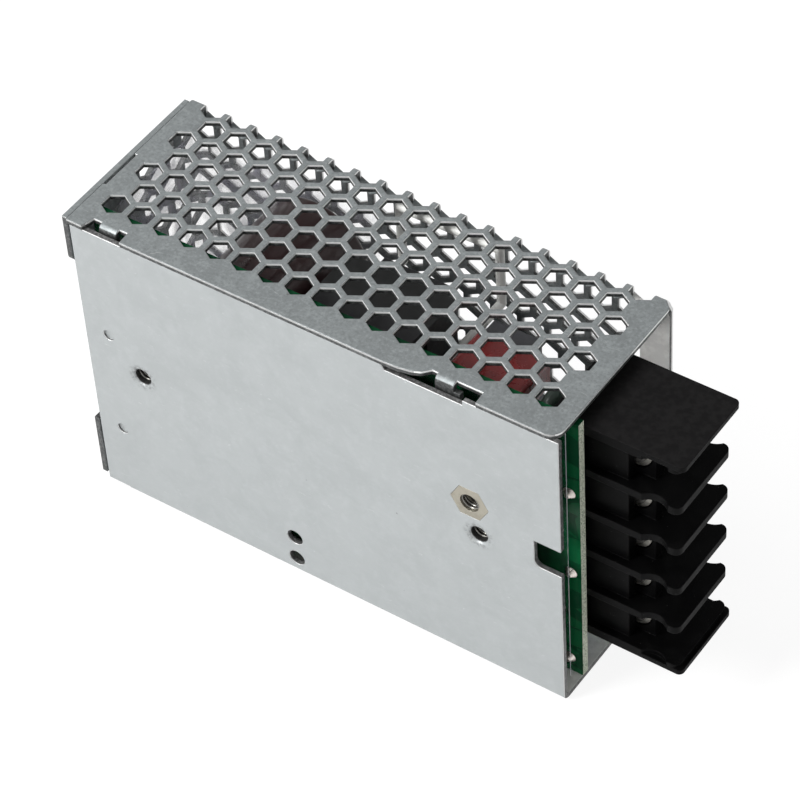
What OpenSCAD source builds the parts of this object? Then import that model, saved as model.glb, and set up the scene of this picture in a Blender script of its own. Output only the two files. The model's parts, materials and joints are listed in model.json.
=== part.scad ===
// Mesh case switching power supply, standing on its long side wall.
// X runs along the case towards the terminals, Y from the plain front plate
// to the back mesh, Z up to the mesh side on top. Origin: the middle of the
// whole length and depth, on the surface it stands on. Millimetres.

/* [Case] */
// Length of the folded case
case_l = 78; // [77:1:110]
// Depth from the front plate to the back mesh
case_d = 28.6; // [26:0.1:34]
// Height of the case as it stands
case_h = 51; // [51:0.5:70]
// Sheet thickness of the plain chassis
chassis_t = 0.8; // [0.6:0.1:1.2]
// Outside bend radius of the chassis
chassis_bend = 1.4; // [1.3:0.1:2.5]
// How far the chassis reaches past the mesh at the terminal end
chassis_over = 0.2; // [0:0.1:1]
// Sheet thickness of the mesh cover
cover_t = 0.8; // [0.6:0.1:1]
// Outside bend radius of the mesh cover
cover_bend = 0.9; // [0.85:0.05:1.6]
// Gap between the two folded sheets where they meet
sheet_gap = 0.1; // [0.05:0.05:0.3]

/* [Mesh] */
// Distance between neighbouring holes
mesh_pitch = 4.285; // [4:0.05:6]
// Web left between two holes
mesh_web = 0.82; // [0.7:0.02:1.5]
// First hole centre from the closed end
mesh_in_x = 4.85; // [4.5:0.05:8]
// First row centre from the front plate
mesh_in_y = 5.8; // [5.5:0.1:9]
// Least solid margin at the terminal end, from the last hole centre
mesh_out_x = 4.4; // [3:0.1:8]
// Least solid margin at the foot of the back mesh
mesh_foot = 2.5; // [2:0.5:10]
// Least solid margin of the back mesh at the terminal end, to the last hole centre
mesh_back_out = 5.5; // [4.5:0.1:8]
// How far the back mesh stops short of the mesh side at the terminal end
mesh_short = 0.5; // [0:0.1:1]
// Columns of holes on the closed end
mesh_end_cols = 3; // [1:1:4]

/* [Cover edges] */
// Height of the strip at the upper front edge of the closed end
strip_top_h = 8.4; // [5:0.1:15]
// Height at which the lower strip of the closed end stops
strip_low_z = 12.4; // [8:0.1:18]
// How far the closed end is cut back between its strips
strip_cut = 3; // [2:0.1:6]
// Height of the closed end above the surface
end_rise = 1.5; // [1:0.1:3]
// Start of the shallow notch in the mesh side, from the front
end_notch_y = 8.2; // [4:0.1:12]
// Length of that notch
end_notch_l = 7; // [3:0.1:10]
// Depth of that notch
end_notch_d = 0.4; // [0.2:0.1:0.8]
// Radius of the free front corner at the terminal end
corner_r = 2; // [1:0.1:4]
// Width of a snap tab
tab_w = 2.8; // [2:0.1:5]
// Length of a snap tab below the mesh side
tab_l = 5; // [3:0.1:9]
// Relief cut on each side of the left snap tab
tab_relief = 1.4; // [0.8:0.1:3]
// Left edge of the left snap tab
tab_left_x = 5.5; // [5:0.1:12]
// Left edge of the right snap tab
tab_right_x = 59.1; // [57:0.1:62]
// Open edge to the right of the right snap tab
tab_right_open = 4; // [2:0.1:8]
// Length of the slot in the top edge of the chassis
slot_l = 12.4; // [8:0.1:16]
// Depth of that slot
slot_h = 0.8; // [0.5:0.1:3]
// Distance from the slot's right end to the right snap tab's left edge
slot_past = 4.9; // [3:0.1:8]

/* [Front plate] */
// Distance between the two threaded mounting holes
mount_pitch = 55; // [45:0.5:70]
// Place of the first mounting hole along the case
mount_x = 10.5; // [8:0.1:16]
// Height of the mounting holes
mount_z = 26; // [20:0.1:32]
// Wall radius of a threaded hole
thread_r = 1.25; // [1.2:0.05:1.6]
// Length of the drawn collar behind the plate
collar_h = 1.3; // [0.8:0.1:1.5]
// Wall of the drawn collar
collar_wall = 0.7; // [0.5:0.1:1]
// Radius of the rolled rim of a mounting hole
rim_r = 0.5; // [0.3:0.05:0.55]
// Distance of the board post from the terminal end
post_in = 13.7; // [12:0.1:18]
// Height of the board post
post_z = 31.5; // [30:0.1:34]
// Width across the flats of the board post's pressed head
post_flats = 5.1; // [4.5:0.1:6]
// Radius of the board post's barrel
post_r = 2.3; // [2:0.1:2.5]
// Wall radius of the threaded bore in the board post
post_bore = 1.45; // [1.2:0.05:1.6]
// Place of the two plain holes along the case
plain_x = 34.5; // [20:0.1:45]
// Height of the lower plain hole
plain_z = 3.2; // [3:0.1:8]
// Distance between the plain holes
plain_pitch = 4.2; // [3.5:0.1:8]
// Radius of a plain hole
plain_r = 1.3; // [0.8:0.1:1.6]
// Place of the two half sheared recesses along the case
dimple_x = 5.4; // [4:0.1:8]
// Height of the lower recess
dimple_z = 13.2; // [6:0.1:18]
// Distance between the recesses
dimple_pitch = 18.3; // [12:0.1:24]
// Radius of a recess
dimple_r = 0.9; // [0.7:0.1:1.6]
// Depth of a recess
dimple_deep = 0.35; // [0.2:0.05:0.5]
// Length of the open notch at the terminal end
notch_l = 4.1; // [2:0.1:8]
// Height of the open notch
notch_h = 4.8; // [3.2:0.1:8]
// Lower edge of the open notch
notch_z = 25.2; // [18:0.1:34]
// Radius of the notch's lower corner
notch_r = 1.1; // [0.5:0.1:1.5]

/* [Board] */
// Thickness of the circuit board
board_t = 1.2; // [0.8:0.1:1.8]
// Room between the front plate's face and the board
board_y = 4.3; // [3.9:0.1:5]
// Gap from the board's ends to the case ends
board_in_x = 1.8; // [1.7:0.1:3]
// How far the board reaches past the chassis at the terminal end
board_past = 0.3; // [0:0.1:1]
// Gap between the board's lower edge and the side wall
board_low = 0.6; // [0.3:0.1:2]
// Gap between the board's upper edge and the mesh side
board_high = 0.4; // [0.3:0.1:3]
// Thickness of the insulating film
film_t = 0.2; // [0.1:0.05:0.3]
// Gap between the film and the board
film_gap = 0.8; // [0.75:0.05:1]
// How far the film stops short of the board's edge
film_short = 1.4; // [0.2:0.1:3]
// Height of a solder joint
solder_h = 0.7; // [0.4:0.1:0.7]
// Foot radius of a solder joint
solder_r = 0.95; // [0.7:0.05:0.95]

/* [Terminal block] */
// Number of poles
poles = 5; // [2:1:5]
// Distance between poles
pole_pitch = 7.62; // [7.5:0.01:7.8]
// Thickness of the two end plates
block_wall = 1.5; // [1.2:0.1:1.7]
// Thickness of a barrier between poles
barrier_t = 1.2; // [0.8:0.1:1.4]
// Upper face of the block below the top of the case
block_drop = 2.2; // [1.5:0.1:3]
// Depth of the block above the board
block_d = 13.9; // [12:0.1:18]
// How far the barriers and the lower end plate stop short of that depth
block_step = 1; // [0:0.1:2]
// How far the end plates reach past the mesh
block_out = 15; // [14:0.1:20]
// How far the barriers stop short of the end plates
barrier_short = 0.6; // [0.2:0.1:2]
// How far the block reaches into the case
block_in = 4.4; // [4:0.1:6]
// Corner radius of the end plates and barriers
block_corner = 0.8; // [0.4:0.1:1.2]
// Corner radius of the barriers
barrier_corner = 1.1; // [0.6:0.1:1.4]
// Thickness of the two thin end covers of the block
end_t = 0.8; // [0.5:0.1:1]
// Depth of the bites in the edges of a barrier
bite_d = 0.9; // [0.8:0.1:1.9]
// Radius of the bites
bite_r = 2.6; // [2:0.1:3]
// Place of the bites past the mesh
bite_x = 10.8; // [10:0.1:11.6]
// How much further out the back bites are
bite_shift = 0.4; // [0:0.1:0.6]
// Place of the screws past the mesh
screw_x = 6.2; // [6:0.1:7.6]
// Height of the cell floor above the board
cell_floor = 4.6; // [4:0.1:6]
// Thickness of the cell floor under the screw
floor_t = 1.5; // [1:0.1:2]
// Thickness of a contact
contact_t = 0.9; // [0.6:0.1:1.2]
// Width of a contact
contact_w = 5.6; // [4.8:0.1:5.8]
// Radius of a terminal screw's shank
screw_r = 1.45; // [1.2:0.05:1.5]
// Length of a terminal screw's shank
screw_l = 3.5; // [3.2:0.1:4]
// Radius of a terminal screw's head
head_r = 2.7; // [2.3:0.1:2.8]
// Height of a terminal screw's head
head_h = 2; // [1.5:0.1:2.4]
// Side of the square clamp plate
clamp_w = 5.6; // [5:0.1:5.8]
// Thickness of the clamp plate
clamp_t = 0.9; // [0.6:0.1:1.2]
// Running clearance of screws and pins in their holes
run_gap = 0.05; // [0.03:0.01:0.1]

/* [Large parts] */
// Radius of the input capacitor
bulk_r = 8.5; // [6:0.1:8.8]
// Gap between the input capacitor and the film behind it
bulk_gap = 2; // [0.5:0.1:6]
// Left side of the input capacitor from the closed end
bulk_in_x = 15.4; // [14:0.1:16]
// Room between the tall parts and the mesh side
tall_top = 4; // [3.4:0.1:5]
// Width of the transformer core
core_w = 17; // [14:0.1:17.4]
// Height of the transformer core
core_h = 21; // [18:0.1:22]
// Thickness of the transformer core
core_t = 7; // [5:0.1:8]
// Width of a core leg
core_leg = 2.6; // [2:0.1:3]
// Gap between the input capacitor and the transformer
core_in = 1.4; // [0.4:0.1:2]
// Depth of the transformer winding
winding_d = 15; // [12:0.1:16]
// Thickness of the grey capacitor
xcap_t = 7.6; // [6:0.1:7.8]
// Depth of the grey capacitor above the board
xcap_d = 17; // [10:0.1:18]
// Height of the grey capacitor
xcap_h = 13; // [10:0.1:13.4]
// Thickness of the red capacitor
redcap_t = 5; // [4:0.1:5.4]
// Depth of the red capacitor above the board
redcap_d = 9.6; // [7:0.1:13]
// Length of the red capacitor
redcap_l = 11; // [9:0.1:12.6]
// Radius of the output capacitors
outcap_r = 5; // [4:0.1:5.2]
// Height of the output capacitors
outcap_h = 16; // [11:0.5:19]
// Outer radius of the choke ring
ring_r = 4.6; // [4:0.1:4.8]
// Height of the choke ring
ring_h = 5; // [4:0.1:6]

/* [Small parts] */
// Thickness of the heat spreader
spreader_t = 1.5; // [1:0.1:2]
// Height of the heat spreader above the board
spreader_d = 19; // [17:0.1:20]
// Width of a power transistor
power_w = 10; // [9.5:0.1:10.4]
// Radius of the fuse
fuse_r = 3.1; // [2.6:0.1:3.2]
// Height of the fuse
fuse_h = 7; // [5:0.1:9]
// Radius of the thermistor disc
disc_r = 4.4; // [3.5:0.1:4.6]
// Thickness of the thermistor disc
disc_t = 2.4; // [1.8:0.1:2.7]
// Side of the output trimmer
trimmer_w = 6; // [5:0.1:6.2]
// Radius of the trimmer's rotor
rotor_r = 2; // [1.5:0.1:2.4]
// Length of the trimmer's rotor in front of its case
rotor_h = 0.9; // [0.5:0.1:1.2]
// Radius of the pilot lamp
lamp_r = 1.5; // [1:0.1:1.6]
// Radius of the resistors
resistor_r = 1.15; // [0.8:0.05:1.3]
// Length of the resistors
resistor_l = 6.3; // [5:0.1:7]
// Radius of a bare wire
wire_r = 0.35; // [0.2:0.05:0.4]
// Radius of the white sleeve
sleeve_r = 0.65; // [0.5:0.05:0.75]

/* [Hidden] */
$fn = 48;
eps = 0.01;

// Mesh lattice: pointed hexagons in offset rows, flats facing along the rows
hex_r = (mesh_pitch - mesh_web) / sqrt(3);
row_pitch = mesh_pitch * sqrt(3) / 2;
mesh_cols = floor((case_l - mesh_in_x - mesh_out_x) / mesh_pitch) + 1;
hex_w = (mesh_pitch - mesh_web) / 2;

// Folding the sheet saves this much of its length at each corner. On the flat
// blank a corner's arc runs between these two distances from the mould line.
bend_save = 2 * cover_bend - (cover_bend - cover_t / 2) * PI / 2;
arc_in = cover_bend;
arc_out = bend_save - cover_bend;
mesh_run = case_d + case_h - bend_save - mesh_foot - hex_r;
mesh_rows = floor((mesh_run - mesh_in_y) / row_pitch) + 1;

// Planes of the case
cover_in_y = case_d - cover_t;
post_x = case_l - post_in;
cover_in_z = case_h - cover_t;
chassis_x0 = cover_t + 0.6;
chassis_x1 = case_l + chassis_over;
mesh_x0 = cover_t + 0.15;
tab_y = chassis_t + 0.35;
slot_x1 = tab_right_x + slot_past;
slot_x0 = slot_x1 - slot_l;

// Planes of the board
board_x0 = board_in_x;
board_x1 = chassis_x1 + board_past;
board_z0 = chassis_t + board_low;
board_z1 = cover_in_z - board_high;
top_y = board_y + board_t;
film_y = board_y - film_gap - film_t;
film_x = board_x0 - 0.6;
film_back_y = cover_in_y - 1.1 - film_t;

// Terminal block
block_z1 = case_h - block_drop;
block_z0 = block_z1 - poles * pole_pitch - block_wall;
block_x0 = case_l - block_in;
block_x1 = case_l + block_out;
block_y1 = top_y + block_d;
barrier_x1 = block_x1 - barrier_short;
floor_y = top_y + cell_floor;
contact_y = floor_y + contact_t;
pole_screw_x = case_l + screw_x;
contact_end = pole_screw_x + 2.6;
contact_r = screw_r + run_gap;
clamp_y = contact_y + run_gap;
head_y = clamp_y + clamp_t;
function pole_z(i) = block_z1 - block_wall / 2 - (i - 0.5) * pole_pitch;
function tail_x(i) = i % 2 == 0 ? case_l - 1.1 : case_l - 3;

// Tall parts, side by side behind the mesh side
tall_z = cover_in_z - tall_top;
bulk_x = bulk_in_x + bulk_r;
bulk_h = film_back_y - top_y - bulk_gap;
bulk_z = tall_z - bulk_r;
core_x = bulk_x + bulk_r + core_in + core_w / 2;
core_y = top_y + 9.2;
core_z = tall_z - core_h / 2;
window_w = core_w / 2 - 2 * core_leg;
window_x = core_leg + window_w / 2;
winding_x = core_w - 2 * core_leg - 0.6;
flange_z = core_h / 2 - core_leg - 0.1;
flange_t = 0.9;
xcap_x1 = post_x - 3.1;
xcap_z1 = tall_z - 5.8;
redcap_x0 = post_x - 8;
outcap1_x = post_x - 4.8;
outcap1_z = block_z0 + 1.6;
outcap2_x = post_x + 3.9;
outcap2_z = outcap1_z + 8;
ring_x = post_x - 6.8;
ring_z = block_z0 + 12.6;
fuse_x = post_x + 5.9;
fuse_z = post_z - 4;
thermistor_x = post_x + 6.4;
thermistor_z = tall_z - disc_r;

// Parts along the side wall
spreader_x0 = 14;
spreader_x1 = 54;
spreader_z = chassis_t + 0.3;
spreader_top = spreader_z + spreader_t;
transistor_x = 22;
diode_x = 47;
power_hole_y = top_y + 16;

// Small parts on the free ground of the board
inductor_x = 46.6;
inductor_z = 16.4;
inductor_r = 4;
inductor_h = 12;
bias_x = 34.4;
bias_z = 11.4;
safety_x = 40;
safety_z = 12.6;
bridge_x = 8;
bridge_z = 9;
link_l = 8;
lead_y = cover_in_y - sleeve_r - 0.5;
lead_z = cover_in_z - sleeve_r - 0.5;
winding_h = 2 * (flange_z - flange_t) - 0.1;
resistor_at = [[4.6, 27], [11.5, 33], [30.6, 16], [4.6, 12]];

// Output trimmer and pilot lamp under the block
trimmer_z = block_z0 - trimmer_w / 2 - 0.7;
trimmer_x1 = case_l - 4.2;
trimmer_y = top_y + trimmer_w / 2;
lamp_y = top_y + trimmer_w + 3.6;
lamp_x = case_l - 5.3;
lamp_leg_x = trimmer_x1 - 4.4 - 0.6;

module place() translate([-block_x1 / 2, -case_d / 2, 0]) children();

// A bar along Y at x and z, from y0 to y1
module along_y(x, z, y0, y1, r) translate([x, y0, z]) rotate([-90, 0, 0]) cylinder(h = y1 - y0, r = r);

// A bar along X at y and z, from x0 to x1
module along_x(y, z, x0, x1, r) translate([x0, y, z]) rotate([0, 90, 0]) cylinder(h = x1 - x0, r = r);

// A box between two corners
module box(a, b) translate(a) cube(b - a);

// The outside quarter of a bend along X, centred on its own axis
module bend_x(l, r, t) rotate([90, 0, 90]) linear_extrude(l) intersection() {
    difference() {
        circle(r);
        circle(r - t);
    }
    square(r + 1);
}

// The plain folded chassis: front plate and the long side wall it stands on

module chassis_sheet() {
    box([chassis_x0, 0, chassis_bend], [chassis_x1, chassis_t, cover_in_z]);
    box([chassis_x0, chassis_bend, 0], [chassis_x1, cover_in_y - sheet_gap, chassis_t]);
    translate([chassis_x0, chassis_bend, chassis_bend])
        mirror([0, 1, 0]) mirror([0, 0, 1]) bend_x(chassis_x1 - chassis_x0, chassis_bend, chassis_t);
}

// A drawn and threaded hole with a rolled rim, along Y
module drawn_collar(x, z) {
    along_y(x, z, chassis_t - eps, chassis_t + collar_h, thread_r + collar_wall);
}

module drawn_hole(x, z) {
    along_y(x, z, -1, chassis_t + collar_h + 1, thread_r);
    translate([x, 0, z]) rotate([-90, 0, 0]) rotate_extrude() difference() {
        translate([0, -eps]) square([thread_r + rim_r, rim_r + eps]);
        translate([thread_r + rim_r, rim_r]) circle(rim_r);
    }
}

module half_shear(z) {
    along_y(dimple_x, z, -1, dimple_deep, dimple_r);
}

module end_notch() {
    x0 = chassis_x1 - notch_l;
    rotate([90, 0, 0]) translate([0, 0, -chassis_t - 1]) linear_extrude(chassis_t + 2) {
        translate([x0, notch_z + notch_r]) square([notch_l + 1, notch_h - notch_r]);
        translate([x0 + notch_r, notch_z]) square([notch_l + 1 - notch_r, notch_h]);
        translate([x0 + notch_r, notch_z + notch_r]) circle(notch_r);
    }
}

module edge_slot() {
    z0 = cover_in_z - slot_h;
    rotate([90, 0, 0]) translate([0, 0, -chassis_t - 1]) linear_extrude(chassis_t + 2)
        polygon([[slot_x0, cover_in_z + 1], [slot_x0, cover_in_z], [slot_x0 + 0.5, z0], [slot_x1, z0],
            [slot_x1, cover_in_z + 1]]);
}

module chassis() place() color([0.76, 0.78, 0.78]) difference() {
    union() {
        chassis_sheet();
        for (i = [0, 1]) drawn_collar(mount_x + i * mount_pitch, mount_z);
    }
    for (i = [0, 1]) drawn_hole(mount_x + i * mount_pitch, mount_z);
    for (i = [0, 1]) along_y(plain_x, plain_z + i * plain_pitch, -1, chassis_t + 1, plain_r);
    for (i = [0, 1]) half_shear(dimple_z + i * dimple_pitch);
    translate([post_x, -1, post_z]) rotate([-90, 0, 0])
        cylinder(h = chassis_t + 2, r = post_flats / sqrt(3) + 0.03, $fn = 6);
    end_notch();
    edge_slot();
    box([chassis_x0 - 1, -1, -1], [chassis_x0 + 3.6, chassis_bend, chassis_t + 0.2]);
}

// The mesh cover: one perforated sheet folded round the top, the back and
// the closed end

module hex_hole() rotate(30) circle(hex_r, $fn = 6);

function row_s(j) = mesh_in_y + j * row_pitch;
function row_z(j) = case_h + case_d - bend_save - row_s(j);
function is_top(j) = row_s(j) + hex_r < case_d - arc_in;
function is_back(j) = row_s(j) - hex_r > case_d - arc_out;
function row_x(j, i) = mesh_in_x + (i + (j % 2) / 2) * mesh_pitch;
function row_n(j) = mesh_cols - j % 2;
function on_back(j, i) = row_x(j, i) - hex_w > arc_in;
function on_end(j, i) = row_x(j, i) + hex_w < arc_out;
function end_y(j, i) = case_d - bend_save + row_x(j, i);

// Distance along a bar's profile, of a point so far past the mould line on
// the flat blank: negative before the corner, positive after it
function past_fold(f) = (f < -arc_in ? f : f > -arc_out ? f + bend_save :
    ((f + arc_in) / (arc_in - arc_out) * 2 - 1) * cover_bend) / sqrt(2);

// Front edge of the mesh side with the clearances of its two snap tabs
module front_clearances() {
    y1 = tab_y + cover_bend;
    xl = tab_left_x - tab_relief;
    polygon([[xl - 0.6, -1], [xl - 0.6, 0], [xl, y1], [tab_left_x + tab_w + tab_relief, y1],
        [tab_left_x + tab_w + tab_relief + 0.2, -1]]);
    polygon([[slot_x0 - 0.6, -1], [slot_x0, 0], [slot_x0 + 2.4, 0.12], [slot_x0 + 4.5, 0.5],
        [slot_x0 + 5.6, 1], [slot_x0 + 6.6, y1], [tab_right_x + tab_w + tab_right_open, y1],
        [tab_right_x + tab_w + tab_right_open + 0.2, -1]]);
}

module mesh_side() translate([0, 0, cover_in_z]) linear_extrude(cover_t) difference() {
    translate([mesh_x0, 0]) square([case_l - mesh_x0, case_d - cover_bend]);
    difference() {
        translate([case_l - corner_r, -eps]) square([corner_r + eps, corner_r + eps]);
        translate([case_l - corner_r, corner_r]) circle(corner_r);
    }
    front_clearances();
    translate([mesh_x0 - eps, end_notch_y]) square([end_notch_d, end_notch_l]);
    for (j = [0 : mesh_rows - 1], i = [0 : row_n(j) - 1]) if (is_top(j))
        translate([row_x(j, i), row_s(j)]) hex_hole();
}

module mesh_back() translate([0, case_d, 0]) rotate([90, 0, 0]) linear_extrude(cover_t) difference() {
    translate([cover_bend, 0]) square([case_l - mesh_short - cover_bend, case_h - cover_bend]);
    for (j = [0 : mesh_rows - 1], i = [-1 : row_n(j) - 1]) if (is_back(j) && on_back(j, i) && row_x(j, i) <= case_l - mesh_back_out)
        translate([row_x(j, i), row_z(j)]) hex_hole();
}

module mesh_end() rotate([90, 0, 90]) linear_extrude(cover_t) difference() {
    union() {
        translate([strip_cut, end_rise]) square([case_d - cover_bend - strip_cut, case_h - end_rise - 0.1]);
        translate([0.3, end_rise]) square([strip_cut, strip_low_z - end_rise]);
        translate([0.3, case_h - strip_top_h]) square([strip_cut, strip_top_h - 0.1]);
    }
    difference() {
        translate([-1, case_h - strip_top_h - 1]) square([1 + 1.5, 1 + 1.2]);
        translate([1.5, case_h - strip_top_h + 1.2]) circle(1.2);
        translate([1.5, case_h - strip_top_h]) square([1.5, 1.2]);
    }
    for (j = [0 : mesh_rows - 1], i = [-mesh_end_cols - 1 : -1]) if (is_back(j) && on_end(j, i))
        translate([end_y(j, i), row_z(j)]) hex_hole();
}

// A row that crosses the upper fold is cut by bars square to it. The bar's
// profile is the hexagon with the fold's arc taken into account.
module bend_row(j) {
    f = row_s(j) - case_d;
    t = [past_fold(f - hex_r), past_fold(f - hex_r / 2), past_fold(f + hex_r / 2), past_fold(f + hex_r)];
    for (i = [0 : row_n(j) - 1]) translate([row_x(j, i), case_d, case_h]) rotate([-45, 0, 0])
        translate([0, 0, -3]) linear_extrude(5) polygon([[0, t[0]], [hex_w, t[1]], [hex_w, t[2]],
            [0, t[3]], [-hex_w, t[2]], [-hex_w, t[1]]]);
}

// The same for the holes that cross the upright fold at the closed end
module corner_hole(j, i) {
    f = -row_x(j, i);
    t = [past_fold(f - hex_w), past_fold(f), past_fold(f + hex_w)];
    translate([0, case_d, row_z(j)]) rotate([0, 0, 45]) rotate([90, 0, 0])
        translate([0, 0, -2]) linear_extrude(5) polygon([[-t[0], hex_r / 2], [-t[1], hex_r],
            [-t[2], hex_r / 2], [-t[2], -hex_r / 2], [-t[1], -hex_r], [-t[0], -hex_r / 2]]);
}

// Relief at the terminal end of the upper fold
module fold_relief() translate([case_l - mesh_short, case_d, case_h]) rotate([-45, 0, 0])
    translate([0, 0, -3]) linear_extrude(5) polygon([[-0.7, -0.3], [-0.7, 0.3], [0, 1.2], [1, 1.2],
        [1, -1.2], [mesh_short, -1.2]]);

module snap_tab(x) {
    translate([x, tab_y + cover_bend, case_h - cover_bend]) mirror([0, 1, 0])
        bend_x(tab_w, cover_bend, cover_t);
    box([x, tab_y, case_h - cover_t - tab_l], [x + tab_w, tab_y + cover_t, case_h - cover_bend]);
}

module end_bend() translate([cover_bend, case_d - cover_bend, end_rise])
    linear_extrude(case_h - end_rise - cover_bend)
    intersection() {
        difference() {
            circle(cover_bend);
            circle(cover_bend - cover_t);
        }
        translate([-cover_bend - 1, 0]) square(cover_bend + 1);
    }

module mesh_cover() place() color([0.56, 0.58, 0.6]) {
    $fn = 24;
    difference() {
        union() {
            mesh_side();
            mesh_back();
            mesh_end();
            end_bend();
            translate([mesh_x0, case_d - cover_bend, case_h - cover_bend])
                bend_x(case_l - mesh_x0, cover_bend, cover_t);
        }
        for (j = [0 : mesh_rows - 1]) if (!is_top(j) && !is_back(j)) bend_row(j);
        for (j = [0 : mesh_rows - 1], i = [-2 : 0])
            if (is_back(j) && !on_back(j, i) && !on_end(j, i)) corner_hole(j, i);
        fold_relief();
        box([-1, case_d - cover_bend, case_h - cover_bend], [mesh_x0, case_d + 1, case_h + 1]);
    }
    snap_tab(tab_left_x);
    snap_tab(tab_right_x);
    box([tab_right_x + tab_w - eps, tab_y, case_h - 2.4],
        [tab_right_x + tab_w + 1, tab_y + cover_t, case_h - 1.3]);
}

// Board and what carries it

module board_post() place() color([0.72, 0.66, 0.5]) difference() {
    union() {
        translate([post_x, 0, post_z]) rotate([-90, 0, 0])
            cylinder(h = chassis_t, r = post_flats / sqrt(3), $fn = 6);
        along_y(post_x, post_z, chassis_t - eps, board_y, post_r);
    }
    along_y(post_x, post_z, -1, board_y + 1, post_bore);
}

// A pan head with a cross recess, along Z with its seat at zero
module pan_head(r, h) difference() {
    rotate_extrude() intersection() {
        translate([0, 0]) square([r, h]);
        union() {
            square([r, h * 0.45]);
            translate([0, h * 0.45]) square([r - h * 0.55, h * 0.55]);
            translate([r - h * 0.55, h * 0.45]) circle(h * 0.55);
        }
    }
    for (a = [0, 90]) rotate(a) translate([-r * 0.55, -r * 0.11, h * 0.45]) cube([r * 1.1, r * 0.22, h]);
}

module board_screw() place() color([0.7, 0.7, 0.7]) translate([post_x, top_y, post_z]) rotate([-90, 0, 0]) {
    pan_head(2.6, 1.8);
    translate([0, 0, -4]) cylinder(h = 4 + eps, r = post_bore - run_gap);
}

module insulating_film() place() color([0.85, 0.87, 0.88, 0.5]) difference() {
    union() {
        box([film_x, film_y, board_z0 - 0.2], [board_x1 - film_short, film_y + film_t, board_z1 - 0.3]);
        box([film_x, film_y, board_z0 - 0.2], [film_x + film_t, film_back_y + film_t, board_z1 - 4]);
        box([film_x, film_back_y, board_z0 + 2.2], [bulk_x + bulk_r, film_back_y + film_t, board_z1 - 4]);
    }
    along_y(post_x, post_z, film_y - 1, film_y + 1, post_r + 0.25);
}

module circuit_board() place() color([0.05, 0.3, 0.16]) difference() {
    box([board_x0, board_y, board_z0], [board_x1, top_y, board_z1]);
    along_y(post_x, post_z, board_y - 1, top_y + 1, post_bore + 0.2);
    for (i = [1 : poles]) along_y(tail_x(i), pole_z(i), board_y - 1, top_y + 1, 0.7);
}

module solder_joint(x, z) {
    translate([x, board_y, z]) rotate([90, 0, 0]) cylinder(h = solder_h, r1 = solder_r, r2 = solder_r * 0.35);
}

// One joint under each lead of the parts on the other side
module solder_joints() place() color([0.75, 0.75, 0.74]) {
    for (i = [1 : poles]) solder_joint(tail_x(i), pole_z(i));
    for (s = [-1, 1]) solder_joint(bulk_x + s * 2.5, bulk_z);
    for (s = [-1, 1], k = [-1, 0, 1]) solder_joint(core_x + k * 5, core_z + s * (core_h / 2 - 1));
    for (s = [0.15, 0.85]) solder_joint(xcap_x1 - xcap_t / 2, xcap_z1 - xcap_h * s);
    for (s = [0.12, 0.88]) solder_joint(redcap_x0 + redcap_l * s, tall_z - redcap_t / 2);
    for (k = [-1, 0, 1]) solder_joint(transistor_x + k * 2.54, spreader_top + 2);
    for (k = [-1, 0, 1]) solder_joint(diode_x + k * 2.54, spreader_top + 2);
    for (s = [-1, 1]) solder_joint(outcap1_x + s * 2.5, outcap1_z);
    for (s = [-1, 1]) solder_joint(outcap2_x + s * 2.5, outcap2_z);
    for (k = [0, 1]) solder_joint(trimmer_x1 - 0.7 - k * 3, trimmer_z);
    solder_joint(case_l - 1.6, board_z0 + 2.65);
}

// Terminal block

// An end plate or barrier outline in X and Y, with rounded free corners
module plate_outline(x1, d, r) {
    translate([block_x0, top_y]) square([x1 - block_x0 - r, d]);
    translate([block_x0, top_y + r]) square([x1 - block_x0, d - 2 * r]);
    translate([x1 - r, top_y + r]) circle(r);
    translate([x1 - r, top_y + d - r]) circle(r);
}

module barrier_outline() difference() {
    plate_outline(barrier_x1, block_d - block_step, barrier_corner);
    translate([case_l + bite_x, top_y - bite_r + bite_d]) circle(bite_r);
    translate([case_l + bite_x + bite_shift, top_y + block_d - block_step + bite_r - bite_d]) circle(bite_r);
}

module terminal_housing() place() color([0.1, 0.1, 0.11]) difference() {
    union() {
        translate([0, 0, block_z1 - end_t]) linear_extrude(end_t) plate_outline(block_x1, block_d, block_corner);
        translate([0, 0, block_z0])
            linear_extrude(end_t) plate_outline(block_x1, block_d - block_step, block_corner);
        for (k = [0, 1]) translate([0, 0, k == 0 ? block_z1 - block_wall : block_z0 + end_t - eps])
            linear_extrude(block_wall - end_t + eps) barrier_outline();
        for (k = [1 : poles - 1])
            translate([0, 0, block_z1 - block_wall / 2 - barrier_t / 2 - k * pole_pitch])
                linear_extrude(barrier_t) barrier_outline();
        box([block_x0, top_y + 1.2, block_z0 + eps], [case_l + 6.3, floor_y, block_z1 - eps]);
        box([case_l + 5.6, floor_y - floor_t, block_z0 + eps], [contact_end + 0.4, floor_y, block_z1 - eps]);
        box([case_l + 1, floor_y - eps, block_z0 + eps],
            [case_l + 2.8, block_y1 - block_step - 1, block_z1 - eps]);
    }
    for (i = [1 : poles]) {
        along_y(pole_screw_x, pole_z(i), floor_y - floor_t - 0.4, floor_y + 1, contact_r + 0.9);
        box([tail_x(i) - 0.7, top_y - 1, pole_z(i) - 0.8], [tail_x(i) + 0.7, floor_y + 1, pole_z(i) + 0.8]);
        box([case_l - 2, floor_y, pole_z(i) - contact_w / 2 - 0.1],
            [case_l + 4, contact_y + 0.1, pole_z(i) + contact_w / 2 + 0.1]);
    }
}

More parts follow.
